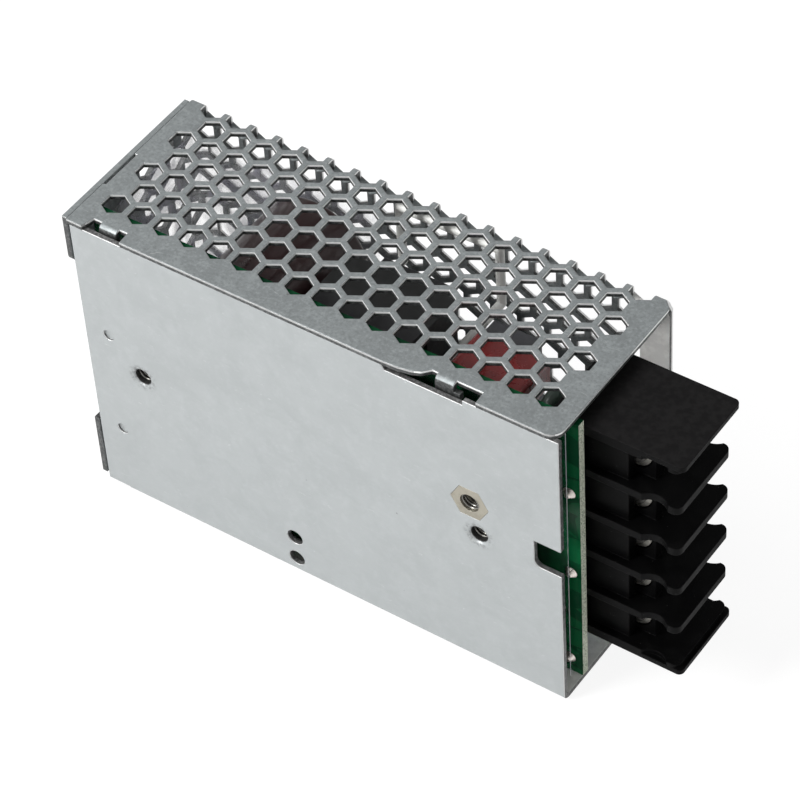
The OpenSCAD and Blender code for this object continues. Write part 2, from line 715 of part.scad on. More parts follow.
module contact(i) place() color([0.78, 0.76, 0.7]) difference() {
    union() {
        box([tail_x(i) - 0.4, floor_y, pole_z(i) - contact_w / 2],
            [contact_end, contact_y, pole_z(i) + contact_w / 2]);
        box([tail_x(i) - 0.4, board_y, pole_z(i) - 0.5], [tail_x(i) + 0.4, floor_y + eps, pole_z(i) + 0.5]);
        along_y(pole_screw_x, pole_z(i), floor_y - floor_t + 0.2, floor_y + eps, contact_r + 0.7);
    }
    along_y(pole_screw_x, pole_z(i), top_y, contact_y + 1, contact_r);
}

module clamp_plate(i) place() color([0.74, 0.74, 0.72]) difference() {
    box([pole_screw_x - clamp_w / 2, clamp_y, pole_z(i) - clamp_w / 2],
        [pole_screw_x + clamp_w / 2, head_y - run_gap, pole_z(i) + clamp_w / 2]);
    along_y(pole_screw_x, pole_z(i), clamp_y - 1, head_y + 1, screw_r + 0.2);
    for (s = [-1, 1]) translate([pole_screw_x + s * clamp_w / 2, clamp_y, pole_z(i)]) rotate([0, 45, 0])
        cube([0.8, 0.6, 0.8], center = true);
}

module terminal_screw(i) place() color([0.8, 0.78, 0.72])
    translate([pole_screw_x, head_y, pole_z(i)]) rotate([-90, 0, 0]) {
        pan_head(head_r, head_h);
        translate([0, 0, -screw_l]) cylinder(h = screw_l + eps, r = screw_r);
    }

// Tall parts

// A can with a rolled top edge and a groove near its foot, standing along Y
module can(x, z, r, h) translate([x, top_y, z]) rotate([-90, 0, 0]) rotate_extrude() difference() {
    union() {
        square([r, h - 0.8]);
        square([r - 0.8, h]);
        translate([r - 0.8, h - 0.8]) circle(0.8);
    }
    translate([r + 0.35, 2.2]) circle(0.8);
    translate([0, h - 0.4]) square([r - 1.4, 1]);
    translate([-5, 0]) square([5, h + 1]);
}

module input_capacitor() place() color([0.2, 0.12, 0.11]) can(bulk_x, bulk_z, bulk_r, bulk_h);

// One half of an E core, its legs down to the joint at zero
module e_half() difference() {
    translate([-core_w / 2, -core_t / 2, 0]) cube([core_w, core_t, core_h / 2]);
    for (s = [-1, 1]) translate([s * window_x - window_w / 2, -core_t, -1])
        cube([window_w, core_t * 2, core_h / 2 - core_leg + 1]);
}

module transformer_core_upper() place() color([0.2, 0.2, 0.21]) translate([core_x, core_y, core_z]) e_half();

module transformer_core_lower() place() color([0.2, 0.2, 0.21]) translate([core_x, core_y, core_z])
    mirror([0, 0, 1]) e_half();

// A box with rounded edges along Y, standing on the board
module case_block(x0, x1, z0, z1, d, r) translate([0, top_y, 0]) rotate([-90, 0, 0]) mirror([0, 1, 0])
    linear_extrude(d) {
        translate([x0 + r, z0]) square([x1 - x0 - 2 * r, z1 - z0]);
        translate([x0, z0 + r]) square([x1 - x0, z1 - z0 - 2 * r]);
        for (x = [x0 + r, x1 - r], z = [z0 + r, z1 - r]) translate([x, z]) circle(r);
    }

// The bobbin: a tube round the centre leg, two flanges and two pin rails
module transformer_bobbin() place() color([0.09, 0.09, 0.1])
    translate([core_x, core_y, core_z]) difference() {
    union() {
        translate([-core_leg - 0.8, -core_t / 2 - 0.8, -flange_z])
            cube([2 * core_leg + 1.6, core_t + 1.6, 2 * flange_z]);
        for (s = [-1, 1]) {
            translate([-winding_x / 2 - 0.1, -winding_d / 2, s * (flange_z - flange_t / 2) - flange_t / 2])
                cube([winding_x + 0.2, winding_d, flange_t]);
            translate([-core_w / 2 + 0.4, top_y - core_y, s * (core_h / 2 - 1.7) - 1.7])
                cube([core_w - 0.8, core_y - top_y - core_t / 2 - 0.15, 3.4]);
        }
    }
    translate([-core_leg - 0.1, -core_t / 2 - 0.1, -core_h])
        cube([2 * core_leg + 0.2, core_t + 0.2, 2 * core_h]);
}

module transformer_winding() place() color([0.13, 0.11, 0.12])
    translate([core_x, core_y, core_z - winding_h / 2])
    linear_extrude(winding_h) difference() {
        union() {
            translate([-winding_x / 2 + 2, -winding_d / 2 + 0.3]) square([winding_x - 4, winding_d - 0.6]);
            translate([-winding_x / 2, -winding_d / 2 + 2.3]) square([winding_x, winding_d - 4.6]);
            for (x = [-1, 1], y = [-1, 1])
                translate([x * (winding_x / 2 - 2), y * (winding_d / 2 - 2.3)]) circle(2);
        }
        translate([-core_leg - 0.85, -core_t / 2 - 0.85]) square([2 * core_leg + 1.7, core_t + 1.7]);
    }

// A sleeved lead out of the winding, along the back mesh and down to the board
module sleeved_lead() place() color([0.92, 0.92, 0.9]) {
    x0 = core_x - 6;
    x1 = core_x + core_w / 2 + 1.4;
    z1 = core_z + core_h / 2 - 7;
    translate([x0, lead_y, z1]) cylinder(h = lead_z - z1, r = sleeve_r);
    translate([x1, lead_y, z1]) cylinder(h = lead_z - z1, r = sleeve_r);
    along_x(lead_y, lead_z, x0, x1, sleeve_r);
    along_y(x0, z1, core_y + winding_d / 2 - 0.4, lead_y, sleeve_r);
    along_y(x1, z1, top_y, lead_y, sleeve_r);
    for (x = [x0, x1], z = [z1, lead_z]) translate([x, lead_y, z]) sphere(sleeve_r + 0.02);
}

module grey_capacitor() place() color([0.3, 0.3, 0.32])
    case_block(xcap_x1 - xcap_t, xcap_x1, xcap_z1 - xcap_h, xcap_z1, xcap_d, 0.5);

module red_capacitor() place() color([0.45, 0.1, 0.1])
    case_block(redcap_x0, redcap_x0 + redcap_l, tall_z - redcap_t, tall_z, redcap_d, 0.7);

module ring_solid(gap) rotate_extrude() translate([ring_r * 0.5 - gap, -gap])
    square([ring_r * 0.36 + 2 * gap, ring_h + 2 * gap]);

module choke_ring() place() color([0.2, 0.35, 0.25])
    translate([ring_x, top_y + 1, ring_z]) rotate([-90, 0, 0]) ring_solid(0);

// Turns of wire round the ring
module choke_winding() place() color([0.62, 0.3, 0.15])
    translate([ring_x, top_y + 1, ring_z]) rotate([-90, 0, 0]) difference() {
        for (a = [30 : 20 : 330]) rotate(a) translate([ring_r * 0.5 - 0.5, -0.4, -0.5])
            cube([ring_r * 0.36 + 1, 0.8, ring_h + 1]);
        ring_solid(0.03);
    }

module output_capacitor(k) place() color([0.1, 0.12, 0.2])
    can(k == 1 ? outcap1_x : outcap2_x, k == 1 ? outcap1_z : outcap2_z, outcap_r, outcap_h);

module output_inductor() place() color([0.15, 0.15, 0.16]) translate([inductor_x, top_y, inductor_z])
    rotate([-90, 0, 0]) rotate_extrude() {
        square([inductor_r, 1.2]);
        square([inductor_r - 0.6, inductor_h]);
        translate([0, inductor_h - 1.2]) square([inductor_r, 1.2]);
    }

module bias_capacitor() place() color([0.12, 0.12, 0.2]) can(bias_x, bias_z, 2.6, 11);

// A coated disc on two leads, its flat faces along X
module disc_part(x, z, r, t) {
    translate([x, top_y + r + 1.2, z]) rotate([0, 90, 0]) rotate_extrude() {
        translate([0, -t / 2]) square([r - t / 2, t]);
        translate([r - t / 2, 0]) intersection() {
            circle(t / 2);
            translate([0, -t]) square([t, 2 * t]);
        }
    }
    for (s = [-1, 1]) along_y(x, z + s * r * 0.5, top_y, top_y + r, wire_r);
}

module safety_capacitor() place() color([0.1, 0.3, 0.6]) disc_part(safety_x, safety_z, 3.6, 2.8);

module thermistor() place() color([0.12, 0.18, 0.14]) disc_part(thermistor_x, thermistor_z, disc_r, disc_t);

module fuse() place() color([0.75, 0.75, 0.72]) translate([fuse_x, top_y, fuse_z]) rotate([-90, 0, 0])
    rotate_extrude() {
        square([fuse_r, 1]);
        square([fuse_r - 0.25, fuse_h - 0.4]);
        square([fuse_r - 0.65, fuse_h]);
        translate([fuse_r - 0.65, fuse_h - 0.4]) circle(0.4);
    }

module bridge_rectifier() place() color([0.08, 0.08, 0.09]) {
    box([bridge_x, top_y + 3, bridge_z], [bridge_x + 3.6, top_y + 13.5, bridge_z + 14.4]);
    for (k = [0 : 3]) along_y(bridge_x + 1.8, bridge_z + 1.5 + k * 3.8, top_y, top_y + 3.2, 0.4);
}

// A dual in line package with its legs, the notch at its first end
module dual_in_line(x, z, w, l) {
    difference() {
        box([x - l / 2, top_y + 0.6, z - w / 2], [x + l / 2, top_y + 3.9, z + w / 2]);
        along_y(x - l / 2, z, top_y + 3.5, top_y + 5, 0.8);
    }
    n = round(l / 2.54);
    for (k = [0 : n - 1], s = [-1, 1]) translate([x + (k - (n - 1) / 2) * 2.54, 0, z + s * (w / 2 + 0.25)]) {
        box([-0.7, top_y + 1.4, -0.3], [0.7, top_y + 2.3, 0.3]);
        box([-0.25, top_y, -0.15], [0.25, top_y + 1.5, 0.15]);
    }
}

module controller() place() color([0.09, 0.09, 0.1]) dual_in_line(24, 20, 6.4, 9.6);

module optocoupler() place() color([0.85, 0.85, 0.83]) dual_in_line(36, 19.5, 6.4, 4.8);

// A three lead power part, its metal tab flat on the heat spreader
module power_part(x) {
    difference() {
        box([x - power_w / 2, power_hole_y - 10, spreader_top],
            [x + power_w / 2, power_hole_y + 2.8, spreader_top + 1.3]);
        translate([x, power_hole_y, spreader_top - 1]) cylinder(h = 4, r = 1.7);
    }
    box([x - power_w / 2, power_hole_y - 12.4, spreader_top + 0.4],
        [x + power_w / 2, power_hole_y - 3, spreader_top + 4.4]);
    for (k = [-1, 0, 1]) box([x + k * 2.54 - 0.4, top_y, spreader_top + 1.75],
        [x + k * 2.54 + 0.4, power_hole_y - 12, spreader_top + 2.25]);
}

module switching_transistor() place() color([0.12, 0.12, 0.12]) power_part(transistor_x);

module output_diode() place() color([0.12, 0.12, 0.12]) power_part(diode_x);

module heat_spreader() place() color([0.7, 0.72, 0.74]) difference() {
    box([spreader_x0, top_y, spreader_z], [spreader_x1, top_y + spreader_d, spreader_top]);
    for (x = [transistor_x, diode_x]) translate([x, power_hole_y, spreader_z - 1]) cylinder(h = 5, r = 1.3);
}

module spreader_screws() place() color([0.75, 0.75, 0.74]) for (x = [transistor_x, diode_x])
    translate([x, power_hole_y, spreader_top + 1.3]) {
        pan_head(2.7, 1.9);
        translate([0, 0, -1.3 - spreader_t]) cylinder(h = 1.3 + spreader_t + eps, r = 1.3 - run_gap);
    }

// Output trimmer and pilot lamp
module trimmer_case() place() color([0.1, 0.3, 0.65]) difference() {
    union() {
        box([trimmer_x1 - 4.4, top_y + 0.3, trimmer_z - trimmer_w / 2],
            [trimmer_x1, top_y + trimmer_w, trimmer_z + trimmer_w / 2]);
        for (k = [0, 1]) along_y(trimmer_x1 - 0.7 - k * 3, trimmer_z, top_y, top_y + 0.5, wire_r);
    }
    along_x(trimmer_y, trimmer_z, trimmer_x1 - 1.5, trimmer_x1 + 1, rotor_r + run_gap);
}

module trimmer_rotor() place() color([0.9, 0.9, 0.86]) difference() {
    along_x(trimmer_y, trimmer_z, trimmer_x1 - 1.5 + run_gap, trimmer_x1 + rotor_h, rotor_r);
    box([trimmer_x1 + rotor_h - 0.6, trimmer_y - rotor_r, trimmer_z - 0.3],
        [trimmer_x1 + rotor_h + 1, trimmer_y + rotor_r, trimmer_z + 0.3]);
}

module pilot_lamp() place() color([0.3, 0.8, 0.35]) {
    translate([lamp_x, lamp_y, trimmer_z]) rotate([0, 90, 0]) {
        cylinder(h = 0.8, r = lamp_r + 0.3);
        cylinder(h = 3.4, r = lamp_r);
        translate([0, 0, 3.4]) sphere(lamp_r);
    }
    for (s = [-1, 1]) {
        z = trimmer_z + s * 1.27;
        along_x(lamp_y, z, lamp_leg_x, lamp_x + 0.2, 0.25);
        along_y(lamp_leg_x, z, top_y, lamp_y, 0.25);
        translate([lamp_leg_x, lamp_y, z]) sphere(0.27);
    }
}

// An axial resistor along Z, on two bent leads
module resistor(k) place() color([0.3, 0.42, 0.6])
    translate([resistor_at[k][0], top_y + resistor_r + 0.3, resistor_at[k][1]]) {
    rotate_extrude() {
        square([resistor_r - 0.15, resistor_l]);
        for (s = [0, resistor_l - 1.5]) translate([0, s]) square([resistor_r, 1.5]);
    }
    for (s = [-1.2, resistor_l + 1.2]) {
        translate([0, 0, s]) sphere(wire_r);
        translate([0, 0, s]) rotate([90, 0, 0]) cylinder(h = resistor_r + 0.3, r = wire_r);
    }
    translate([0, 0, -1.2]) cylinder(h = resistor_l + 2.4, r = wire_r);
}

// Bare wire links along the case, both ends bent square into the board
module jumper_wires() place() color([0.78, 0.78, 0.77]) for (at = [[15.5, 10], [30.4, 24.2], [8, 44]]) {
    y = top_y + wire_r + 0.5;
    along_x(y, at[1], at[0] - wire_r, at[0] + link_l + wire_r, wire_r);
    for (x = [at[0], at[0] + link_l]) along_y(x, at[1], top_y, y, wire_r);
}

chassis();
mesh_cover();
board_post();
board_screw();
insulating_film();
circuit_board();
solder_joints();
terminal_housing();
contact(1);  // contact_1
contact(2);  // contact_2
contact(3);  // contact_3
contact(4);  // contact_4
contact(5);  // contact_5
clamp_plate(1);  // clamp_plate_1
clamp_plate(2);  // clamp_plate_2
clamp_plate(3);  // clamp_plate_3
clamp_plate(4);  // clamp_plate_4
clamp_plate(5);  // clamp_plate_5
terminal_screw(1);  // terminal_screw_1
terminal_screw(2);  // terminal_screw_2
terminal_screw(3);  // terminal_screw_3
terminal_screw(4);  // terminal_screw_4
terminal_screw(5);  // terminal_screw_5
input_capacitor();
transformer_core_upper();
transformer_core_lower();
transformer_bobbin();
transformer_winding();
sleeved_lead();
grey_capacitor();
red_capacitor();
choke_ring();
choke_winding();
output_capacitor(1);  // output_capacitor_1
output_capacitor(2);  // output_capacitor_2
output_inductor();
bias_capacitor();
safety_capacitor();
bridge_rectifier();
controller();
optocoupler();
switching_transistor();
output_diode();
heat_spreader();
spreader_screws();
fuse();
thermistor();
trimmer_case();
trimmer_rotor();
pilot_lamp();
resistor(0);  // resistor_1
resistor(1);  // resistor_2
resistor(2);  // resistor_3
resistor(3);  // resistor_4
jumper_wires();
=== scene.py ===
# %% [markdown]
# A small enclosed switching power supply, standing on its long plain side
# wall. The solids come from the CAD model and stay where they are. This
# notebook dresses them: it gives each sheet, moulding and wound part its own
# finish, adds the screw threads, and lights the whole thing as a product
# photographer would.

# %% Load the frame
import json
import math
import bpy
from mathutils import Matrix, Vector


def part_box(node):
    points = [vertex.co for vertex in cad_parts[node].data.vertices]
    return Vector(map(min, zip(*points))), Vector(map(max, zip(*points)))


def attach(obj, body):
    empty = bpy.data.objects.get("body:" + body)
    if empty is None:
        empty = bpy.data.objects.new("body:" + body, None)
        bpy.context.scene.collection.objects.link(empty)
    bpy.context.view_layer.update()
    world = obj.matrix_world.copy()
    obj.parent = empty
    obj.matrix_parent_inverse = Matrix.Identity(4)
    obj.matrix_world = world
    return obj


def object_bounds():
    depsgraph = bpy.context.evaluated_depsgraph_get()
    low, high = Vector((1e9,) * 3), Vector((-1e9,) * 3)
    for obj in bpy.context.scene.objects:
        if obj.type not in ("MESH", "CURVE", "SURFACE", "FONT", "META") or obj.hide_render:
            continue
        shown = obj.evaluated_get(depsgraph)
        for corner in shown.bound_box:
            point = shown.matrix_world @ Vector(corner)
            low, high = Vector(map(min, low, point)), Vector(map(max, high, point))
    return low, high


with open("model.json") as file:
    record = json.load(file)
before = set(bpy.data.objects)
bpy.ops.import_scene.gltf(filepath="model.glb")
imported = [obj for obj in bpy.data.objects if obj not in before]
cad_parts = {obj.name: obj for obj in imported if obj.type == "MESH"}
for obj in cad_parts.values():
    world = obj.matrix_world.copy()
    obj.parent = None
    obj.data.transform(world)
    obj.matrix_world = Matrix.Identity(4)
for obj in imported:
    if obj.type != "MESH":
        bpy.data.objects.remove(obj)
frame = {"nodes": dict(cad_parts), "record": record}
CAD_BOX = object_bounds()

MM = 0.001

# %% [markdown]
# Finishes are built from shader nodes. Wiring nodes by hand is slow to read,
# so a small class wraps a socket, and plain arithmetic writes the wires:
# adding two terms makes an Add node, and 1 - mask turns a mask inside out.
# Every other node comes from one method, which takes the node's type, then
# its settings, then the values or links of its sockets. The geometry tree of
# the screw threads is built with the same method.

# %% Node arithmetic
class Graph:
    """A node tree, and the one method that adds a node to it."""

    def __init__(self, tree):
        self.tree = tree

    def plug(self, value, socket):
        """Wire a term to a socket, or set the socket to a number or a colour."""
        if isinstance(value, Term):
            self.tree.links.new(value.socket, socket)
        elif socket.type == "RGBA":
            socket.default_value = (*value, 1.0)
        else:
            socket.default_value = value

    def node(self, kind, settings=None, sockets=None, out=0):
        """Add a node and give one of its outputs; a tree's end node has none."""
        made = self.tree.nodes.new(kind)
        for name, value in (settings or {}).items():
            setattr(made, name, value)
        for name, value in (sockets or {}).items():
            self.plug(value, made.inputs[name])
        return Term(self, made.outputs[out]) if made.outputs else None

    def split(self, vector):
        """The three parts of a place or a direction."""
        parts = self.node("ShaderNodeSeparateXYZ", sockets={0: vector})
        return tuple(parts.output(axis) for axis in "XYZ")

    def rays(self, *kinds):
        """Masks for the rays that the camera, a mirror or clear film sends out."""
        path = self.node("ShaderNodeLightPath")
        return tuple(path.output(f"Is {kind} Ray") for kind in kinds)


class Term:
    """One output of a node; arithmetic on it adds Math nodes."""

    def __init__(self, graph, socket):
        self.graph, self.socket = graph, socket

    def output(self, name):
        """Another output of the same node."""
        return Term(self.graph, self.socket.node.outputs[name])

    def math(self, operation, *others, clamp=False):
        return self.graph.node("ShaderNodeMath", {"operation": operation, "use_clamp": clamp},
                               dict(enumerate((self, *others))))

    def __add__(self, other): return self.math("ADD", other)
    def __radd__(self, other): return self.math("ADD", other)
    def __sub__(self, other): return self.math("SUBTRACT", other)
    def __rsub__(self, other): return (self * -1.0) + other
    def __mul__(self, other): return self.math("MULTIPLY", other)
    def __rmul__(self, other): return self.math("MULTIPLY", other)
    def above(self, other): return self.math("GREATER_THAN", other)
    def below(self, other): return self.math("LESS_THAN", other)
    def power(self, other): return self.math("POWER", other)
    def clamped(self): return self.math("ADD", 0.0, clamp=True)

    def ramp(self, low, high, out_low=0.0, out_high=1.0):
        """Smoothly from out_low, where this is low, to out_high, where it is high."""
        return self.graph.node("ShaderNodeMapRange", {"interpolation_type": "SMOOTHSTEP"},
                               {"Value": self, "From Min": low, "From Max": high,
                                "To Min": out_low, "To Max": out_high}, out="Result")


def widest(first, *others):
    """The union of masks: at each point, the largest of them."""
    for other in others:
        first = first.math("MAXIMUM", other)
    return first


print("node arithmetic ready")

# %% [markdown]
# A finish is a recipe of patterns, laid over one shader. Every pattern reads
# Object coordinates in millimetres, so a scale of 2 means two cells per
# millimetre on every piece. Colours go through Mix nodes, because a Math node
# would turn them grey. Edges of sheet and plastic are never knife sharp, so
# the relief is laid over normals that the Bevel node rounds.

# %% A surface under construction
class Surface(Graph):
    """One material under construction, with its Object coordinates in mm."""

    def __init__(self, name):
        self.material = bpy.data.materials.new(name)
        self.material.use_nodes = True
        super().__init__(self.material.node_tree)
        self.shader = self.tree.nodes["Principled BSDF"]
        place = self.node("ShaderNodeTexCoord", out="Object")
        self.point = self.node("ShaderNodeVectorMath", {"operation": "SCALE"}, {0: place, "Scale": 1.0 / MM})
        self.x, self.y, self.z = self.split(self.point)

    def stretched(self, sx=1.0, sy=1.0, sz=1.0):
        return self.node("ShaderNodeVectorMath", {"operation": "MULTIPLY"}, {0: self.point, 1: (sx, sy, sz)})

    def noise(self, scale, detail=2.0, rough=0.5, at=None, twist=0.0):
        return self.node("ShaderNodeTexNoise", sockets={
            "Vector": at or self.point, "Scale": scale, "Detail": detail, "Roughness": rough,
            "Distortion": twist}, out="Fac")

    def cells(self, scale, at=None, feature="F1", out="Distance"):
        return self.node("ShaderNodeTexVoronoi", {"feature": feature},
                         {"Vector": at or self.point, "Scale": scale}, out)

    def lots(self, scale, at):
        """One number for each cell, drawn from its colour."""
        return self.node("ShaderNodeRGBToBW", sockets={"Color": self.cells(scale, at=at, out="Color")})

    def facing(self):
        """The parts of the true normal, which tell faces from cut edges."""
        return self.split(self.node("ShaderNodeNewGeometry", out="True Normal"))

    def mix(self, amount, first, second):
        return self.node("ShaderNodeMix", {"data_type": "RGBA"}, {0: amount, 6: first, 7: second}, out=2)

    def tint(self, colour, *layers):
        """A base colour with (amount, colour) layers laid over it."""
        result = colour
        for amount, layer in layers:
            result = self.mix(amount, result, layer)
        return result

    def set(self, name, value):
        self.plug(value, self.shader.inputs[name])

    def relief(self, height, depth_mm, strength, rounding_mm=0.0):
        """Bump from a height term, over edges rounded by the Bevel node."""
        sockets = {"Strength": strength, "Distance": depth_mm * MM, "Height": height}
        if rounding_mm:
            sockets["Normal"] = self.node("ShaderNodeBevel", {"samples": 4}, {"Radius": rounding_mm * MM})
        self.set("Normal", self.node("ShaderNodeBump", sockets=sockets))


def srgb(r, g, b):
    """A colour as a picture shows it, 0 to 255, in linear light."""
    return tuple((c / 255 / 12.92) if c <= 10 else ((c / 255 + 0.055) / 1.055) ** 2.4 for c in (r, g, b))


FINISH = {}
print("surface recipes ready")

# %% [markdown]
# The case is two punched and folded steel sheets. A punch leaves a hole wall
# in two zones: a burnished band next to the face it enters, and torn, dark
# metal below. The band is painted pale, partly for its burnish and partly as
# a painted highlight along the edge. A drawn and tapped hole has a rim that
# dips inward; its bore and a ring round it are painted dark, as painted shade
# of the deep bore and the dished rim. The inward faces of the sheets are
# painted pale, as painted light on faces that lie in shade. Each zone could
# be a material of its own, but a sheet is one solid with one slot, so masks
# worked out from the true normal and the place pick the zones within one
# material.

# %% Zones of a folded sheet
SHEET_MM = 0.85
SQUARE_ON = 0.5
COVER_BAND_MM, CHASSIS_BAND_MM = 0.30, 0.14
OUTLINE_MM, OUTLINE_DULL = 0.6, 0.62
FRESH_MM = (8.0, 5.5)
# The ring round a drawn hole and its bore are painted dark, as painted shade.
HOLE_SHADE_MM, RIM_MM, BORE_MM = (0.3, 1.5), (-0.1, 1.0), 0.05


def cover_zones(s):
    """Hole walls, their burnished band with a painted highlight, and the inward face painted bright as
    painted light.
    """
    fx, fy, fz = s.facing()
    low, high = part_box("mesh_cover")
    in_top = s.z.above(high[2] / MM - SHEET_MM)
    in_back = s.y.above(high[1] / MM - SHEET_MM)
    in_end = s.x.below(low[0] / MM + SHEET_MM)
    flat = widest(fz.math("ABSOLUTE").above(SQUARE_ON) * in_top,
                  fy.math("ABSOLUTE").above(SQUARE_ON) * in_back,
                  fx.math("ABSOLUTE").above(SQUARE_ON) * in_end)
    # The band along a hole's top edge, painted pale as burnish and as a painted highlight.
    band = widest(s.z.above(high[2] / MM - COVER_BAND_MM) * in_top,
                  s.y.above(high[1] / MM - COVER_BAND_MM) * in_back)
    outline = s.y.below(low[1] / MM + OUTLINE_MM)
    # Only near the far end in x is the inward face painted bright, as painted light.
    lit_near_end = s.x.ramp(high[0] / MM - FRESH_MM[0], high[0] / MM - FRESH_MM[1])
    return {"wall": 1.0 - flat, "band": band * (1.0 - outline * OUTLINE_DULL),
            "inner": fy.below(-SQUARE_ON) * in_back * lit_near_end}


def chassis_zones(s):
    """The same for the chassis, with the dished rim of its holes and painted shade in and round them."""
    _, fy, fz = s.facing()
    low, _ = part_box("chassis")
    in_front = s.y.below(low[1] / MM + SHEET_MM)
    in_floor = s.z.below(low[2] / MM + SHEET_MM)
    flat = widest(fy.math("ABSOLUTE").above(SQUARE_ON) * in_front,
                  fz.math("ABSOLUTE").above(SQUARE_ON) * in_floor)
    # Inward faces of the chassis, which are painted pale as painted light.
    inner = widest(fy.above(SQUARE_ON) * in_front, fz.above(SQUARE_ON) * in_floor)
    rim_shades, bores, rims = [], [], []
    for mount in frame["record"]["mounts"]:
        radius = mount["dims"].get("r_mm")
        if not radius:
            continue
        x, _, z = (c / MM for c in mount["pos_m"])
        away = ((s.x - x).power(2.0) + (s.z - z).power(2.0)).power(0.5)
        # A ring of painted shade round each hole for its dished rim, and its bore painted dark as shade.
        rim_shades.append(away.ramp(radius + HOLE_SHADE_MM[0], radius + HOLE_SHADE_MM[1], 1.0, 0.0))
        rims.append(away.ramp(radius + RIM_MM[0], radius + RIM_MM[1], 1.0, 0.0))
        bores.append(away.below(radius + BORE_MM))
    rim_shade = widest(*rim_shades) * s.noise(1.6, 3.0, 0.7).ramp(0.42, 0.62)
    # The front band, painted pale as burnish and as a painted highlight.
    return {"wall": 1.0 - flat, "band": s.y.below(low[1] / MM + CHASSIS_BAND_MM), "inner": inner,
            "oil": widest(rim_shade, *bores), "dish": widest(*rims)}


print("a face's normal is within", round(math.degrees(math.acos(SQUARE_ON))), "degrees of square on")

# %% [markdown]
# The chassis is zinc plated steel sheet. Rolled and plated sheet is never one
# grey: zinc grows in faint cloudy patches, the rolls leave fine lines along
# the sheet, and handling leaves a few dark specks and hairline scratches. The
# sheet is also made darker towards the edge it stands on. The same recipe
# serves the mesh cover, duller and more mottled, because that sheet has a
# thicker passivated coat.

# %% Plated steel sheet
# A dark for specks, also used as painted shade round the drawn holes.
SPECK_AND_SHADE_DARK = (0.10, 0.10, 0.10)
SCRATCH_BRIGHT = (0.8, 0.81, 0.81)
# Partly the burnish of a punched edge, partly a painted highlight along it.
BURNISH_AND_HIGHLIGHT = (0.90, 0.905, 0.90)
# Bore walls near black, as painted shade deep in the drawn holes.
BORE_SHADE = (0.02, 0.02, 0.02)
# Pale tones for inward faces, as painted light on faces in shade.
INSIDE_LIT_PALE, INSIDE_LIT_MOTTLE = (0.97, 0.965, 0.94), (0.84, 0.835, 0.815)
# Darker towards the bottom edge, full below 2 mm and none above 24 mm.
DARKENING_FULL_MM, DARKENING_NONE_MM, BOTTOM_DARKENING = 2.0, 24.0, 0.16
SHEET_METALLIC = 0.45
DISH_RISE = 22.0
SHEET_RELIEF_MM = 0.014


def plated_sheet(name, zones, colour, torn, rough, cloudy, speckle, contrast, rounding_mm):
    """Zinc plated sheet: clouds, patches, pores and scratches, then its zones."""
    s = Surface(name)
    clouds = s.noise(0.16, 4.0, 0.6, twist=0.6)
    patches = s.noise(0.55, 5.0, 0.62)
    pores = s.noise(2.2, 5.0, 0.72)
    rolled = s.noise(1.0, 4.0, 0.65, at=s.stretched(0.05, 2.4, 2.4))
    specks = s.cells(0.30).below(0.05) * s.noise(0.9, 1.0).above(0.60)
    wander = s.noise(0.7, 2.0)
    scratch = (s.noise(0.45, 1.0, at=s.stretched(0.16, 1.0, 2.6), twist=0.4) - 0.5).math("ABSOLUTE")
    scratch = scratch.ramp(0.0, 0.004, 1.0, 0.0) * wander.ramp(0.5, 0.66)
    light = tuple(min(1.0, c * (1 + contrast)) for c in colour)
    deep = tuple(c * (1 - contrast) for c in colour)
    base = s.tint(colour,
                  (clouds.ramp(0.35, 0.7, 0.0, cloudy), deep),
                  (patches.ramp(0.45, 0.7, 0.0, cloudy * 0.9), light),
                  (pores.ramp(0.50, 0.36, 0.0, speckle), deep),
                  (pores.ramp(0.54, 0.66, 0.0, speckle), light),
                  (scratch * 0.35, SCRATCH_BRIGHT),
                  (specks * 0.5, SPECK_AND_SHADE_DARK),
                  # Darker towards the bottom edge.
                  (s.z.ramp(DARKENING_FULL_MM, DARKENING_NONE_MM, BOTTOM_DARKENING, 0.0), deep))
    roughness = clouds.ramp(0.3, 0.75, rough - 0.05, rough + 0.06) + (rolled - 0.5) * 0.08

    zone = zones(s)
    wall, inner, oil, dish = zone["wall"], zone["inner"], zone.get("oil"), zone.get("dish")
    # Painted shade round and in the drawn holes.
    if oil:
        base = s.mix(oil * 0.55, base, SPECK_AND_SHADE_DARK)
    # Inward faces painted pale, as painted light.
    base = s.mix(inner, base, s.mix(patches.ramp(0.4, 0.6), INSIDE_LIT_PALE, INSIDE_LIT_MOTTLE))
    ragged = s.mix(pores.ramp(0.45, 0.62), torn, tuple(c * 2.4 for c in torn))
    # Hole walls: torn metal, and the band painted pale as burnish and painted highlight.
    base = s.mix(wall, base, s.mix(zone["band"], ragged, BURNISH_AND_HIGHLIGHT))
    # Bore walls painted near black, as painted shade.
    if oil:
        base = s.mix(wall * oil * 0.9, base, BORE_SHADE)
    s.set("Base Color", base)
    s.set("Metallic", (1.0 - inner) * SHEET_METALLIC)
    s.set("Roughness", (roughness + pores * 0.05).clamped())
    s.set("Specular IOR Level", 0.5)
    height = patches * 0.5 + pores * 0.5 + rolled * 0.5 - scratch * 0.8
    if dish:
        height = height - dish * DISH_RISE
    s.relief(height, SHEET_RELIEF_MM, 0.6, rounding_mm=rounding_mm)
    FINISH[name] = s.material


plated_sheet("plain_steel", chassis_zones, colour=(0.372, 0.392, 0.396), torn=(0.10, 0.10, 0.10),
             rough=0.42, cloudy=0.26, speckle=0.08, contrast=0.2, rounding_mm=0.16)
plated_sheet("mesh_steel", cover_zones, colour=(0.27, 0.292, 0.296), torn=(0.05, 0.052, 0.052),
             rough=0.44, cloudy=0.5, speckle=0.5, contrast=0.34, rounding_mm=0.24)
print("sheet finishes:", list(FINISH))

